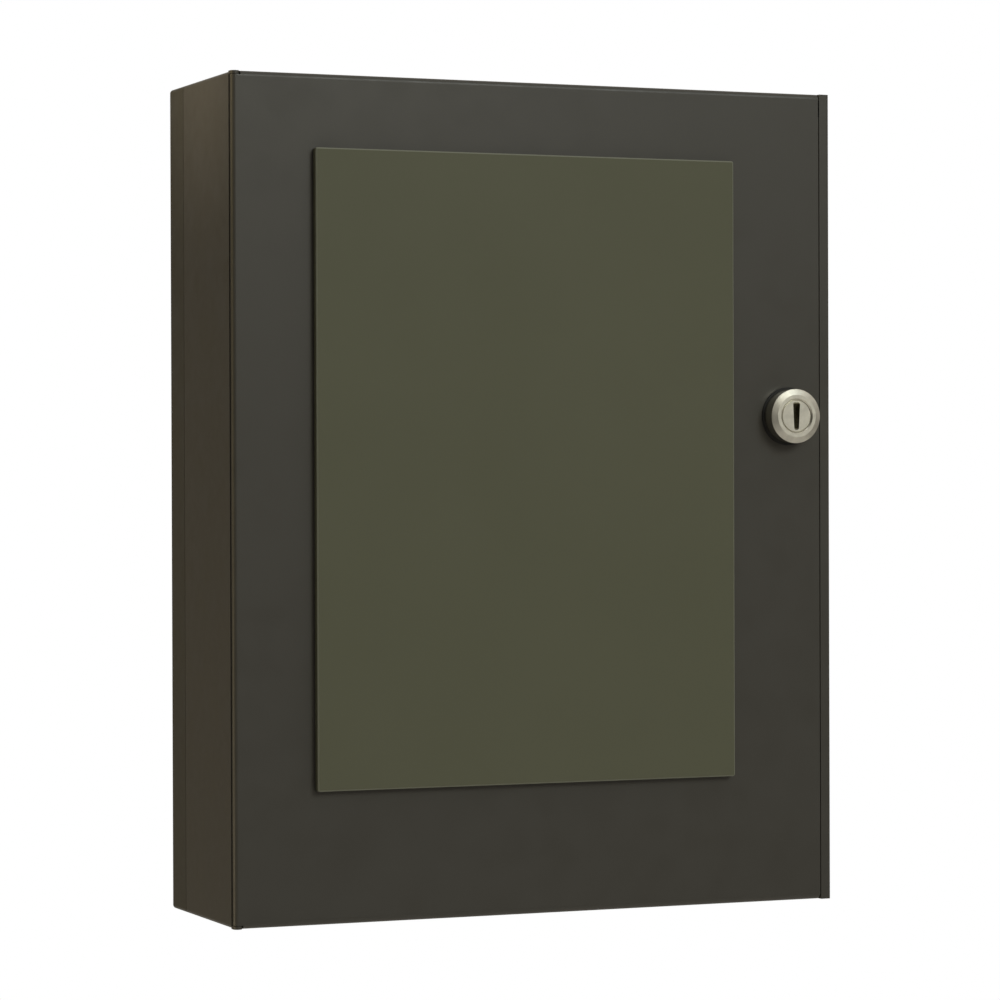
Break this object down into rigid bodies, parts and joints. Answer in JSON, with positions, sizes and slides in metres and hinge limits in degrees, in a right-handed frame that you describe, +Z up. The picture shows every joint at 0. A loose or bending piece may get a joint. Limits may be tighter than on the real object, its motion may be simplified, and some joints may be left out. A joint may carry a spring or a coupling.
{
  "type": "fire alarm control panel",
  "caption": "Shallow wall-mounted sheet-steel cabinet with a hinged full-face door, a raised tinted window plate and a round cam lock, over a fascia, boards, supply and batteries.",
  "frame": {"origin": "centre of the back face, on the wall plane", "axes": "+X to the right seen from the front, +Y into the wall, +Z up; the door faces -Y"},
  "size_m": [0.25, 0.084, 0.32],
  "materials": {
    "cabinet_paint": "satin, fine even texture",
    "tray_paint": "satin",
    "door_paint": "satin, fine even texture",
    "fascia_paint": "satin light grey",
    "nickel": "satin nickel plate",
    "zinc_steel": "zinc plated",
    "bare_steel": "brushed",
    "brass": "bright",
    "tinted_pane": "smoked olive-grey acrylic, satin",
    "tape": "foam tape",
    "rubber": "matte",
    "overlay_film": "fine matte print film",
    "black_plastic": "matte",
    "lcd_glass": "unlit display behind clear glass",
    "red_lens": "tinted, unlit",
    "amber_lens": "tinted, unlit",
    "green_lens": "tinted, unlit",
    "button_grey": "matte",
    "button_red": "matte",
    "circuit_green": "solder mask",
    "terminal_green": "matte",
    "relay_blue": "matte",
    "capacitor_sleeve": "shrink sleeve",
    "black_anodised": "anodised",
    "fuse_glass": "clear",
    "battery_case": "fine matte",
    "white_plastic": "matte",
    "ribbon_grey": "flat cable",
    "lead_red": "sheath",
    "lead_black": "sheath",
    "lead_brown": "sheath",
    "lead_earth": "green and yellow sheath",
    "coil_wrap": "varnished tape",
    "core_iron": "varnished laminations",
    "surround_screw_finish": "black"
  },
  "bodies": {
    "cabinet": {"back_tray": "tray_paint", "surround": "cabinet_paint", "cam_keeper": "zinc_steel", "door_bumpers": "rubber", "cable_grommets": "rubber", "surround_screws": "surround_screw_finish", "hinge_rod": "bare_steel", "fascia_earth_stud": "brass", "door_earth_lead": "lead_earth", "fascia_plate": "fascia_paint", "fascia_overlay": "overlay_film", "fascia_pillars": "zinc_steel", "board_spacers": "zinc_steel", "lcd_module": "black_plastic", "lcd_glass": "lcd_glass", "red_leds": "red_lens", "amber_leds": "amber_lens", "green_led": "green_lens", "buzzer": "black_plastic", "key_switch_barrel": "nickel", "display_board": "circuit_green", "ribbon_headers": "black_plastic", "ribbon_cable": "ribbon_grey", "main_board": "circuit_green", "field_terminals": "terminal_green", "terminal_screws": "zinc_steel", "relays": "relay_blue", "capacitors": "capacitor_sleeve", "heat_sink": "black_anodised", "fuse_tubes": "fuse_glass", "fuse_clips": "brass", "chips_and_switches": "black_plastic", "batteries": "battery_case", "battery_tabs": "brass", "battery_connectors": "white_plastic", "battery_brackets": "zinc_steel", "positive_lead": "lead_red", "negative_leads": "lead_black", "transformer_core": "core_iron", "transformer_coil": "coil_wrap", "mains_terminal": "white_plastic", "mains_leads": "lead_brown", "inner_screws": "zinc_steel"},
    "door": {"door_panel": "door_paint", "window_pane": "tinted_pane", "pane_tape": "tape", "door_earth_stud": "brass", "lock_housing": "nickel", "lock_seal": "rubber", "lock_nut": "zinc_steel"},
    "lock": {"lock_plug": "nickel", "lock_cam": "zinc_steel", "lock_cam_screw": "zinc_steel"},
    "sound_alarm_key": {"sound_alarm_button": "button_red"},
    "silence_alarm_key": {"silence_alarm_button": "button_grey"},
    "reset_key": {"reset_button": "button_grey"},
    "mute_buzzer_key": {"mute_buzzer_button": "button_grey"},
    "controls_key": {"key_switch_plug": "nickel"}
  },
  "joints": [
    {"name": "door_swing", "type": "hinge", "parent": "cabinet", "child": "door", "pos_m": [-0.1233, -0.0743, 0], "axis": [0, 0, -1], "range_deg": [0, 110], "deforming": ["door_earth_lead"]},
    {"name": "lock_turn", "type": "hinge", "parent": "door", "child": "lock", "pos_m": [0.1063, -0.076, 0.032], "axis": [0, -1, 0], "range_deg": [0, 90]},
    {"name": "sound_alarm_press", "type": "slide", "parent": "cabinet", "child": "sound_alarm_key", "axis": [0, 1, 0], "range_m": [0, 0.001], "stiffness_N_per_m": 900, "springref_m": -0.0008},
    {"name": "silence_alarm_press", "type": "slide", "parent": "cabinet", "child": "silence_alarm_key", "axis": [0, 1, 0], "range_m": [0, 0.001], "stiffness_N_per_m": 900, "springref_m": -0.0008},
    {"name": "reset_press", "type": "slide", "parent": "cabinet", "child": "reset_key", "axis": [0, 1, 0], "range_m": [0, 0.001], "stiffness_N_per_m": 900, "springref_m": -0.0008},
    {"name": "mute_buzzer_press", "type": "slide", "parent": "cabinet", "child": "mute_buzzer_key", "axis": [0, 1, 0], "range_m": [0, 0.001], "stiffness_N_per_m": 900, "springref_m": -0.0008},
    {"name": "controls_key_turn", "type": "hinge", "parent": "cabinet", "child": "controls_key", "pos_m": [0.062, -0.05, 0.028], "axis": [0, -1, 0], "range_deg": [0, 90]}
  ]
}
